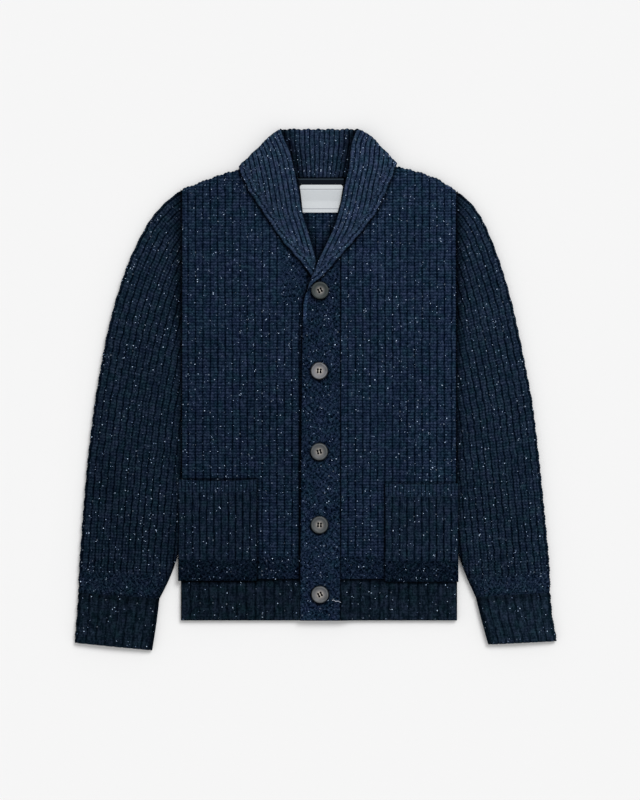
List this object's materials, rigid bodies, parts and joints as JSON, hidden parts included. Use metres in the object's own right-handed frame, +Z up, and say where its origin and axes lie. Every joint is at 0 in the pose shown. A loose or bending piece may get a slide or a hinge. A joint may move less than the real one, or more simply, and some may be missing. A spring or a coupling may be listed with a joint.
{
  "type": "shawl collar cardigan",
  "caption": "Chunky rib-knit cardigan with a shawl collar, buttoned front band, patch pockets and ribbed hem and cuffs, laid flat.",
  "frame": {"origin": "on the surface that the cardigan lies on, below the middle of its outline", "axes": "+Z up out of the surface, through the buttoned front; +Y along the body towards the collar; +X to the right of someone who looks down on the front"},
  "size_m": [0.7228, 0.781, 0.0179],
  "materials": {
    "body_knit": "matte marled wool rib with pale flecks",
    "collar_knit": "matte marled wool rib with pale flecks",
    "neck_tape": "matte woven tape",
    "neck_label": "woven satin, blank",
    "button": "horn-like grey brown, half gloss"
  },
  "bodies": {
    "root": {"back": "body_knit", "front_left": "body_knit", "front_right": "body_knit", "hem_back": "body_knit", "hem_front_left": "body_knit", "hem_front_right": "body_knit", "band_over": "body_knit", "band_under": "body_knit", "sleeve_left": "body_knit", "sleeve_right": "body_knit", "cuff_left": "body_knit", "cuff_right": "body_knit", "pocket_left": "body_knit", "pocket_right": "body_knit", "collar": "collar_knit", "neck_tape": "neck_tape", "neck_label": "neck_label", "button_1": "button", "button_2": "button", "button_3": "button", "button_4": "button", "button_5": "button"}
  },
  "joints": []
}
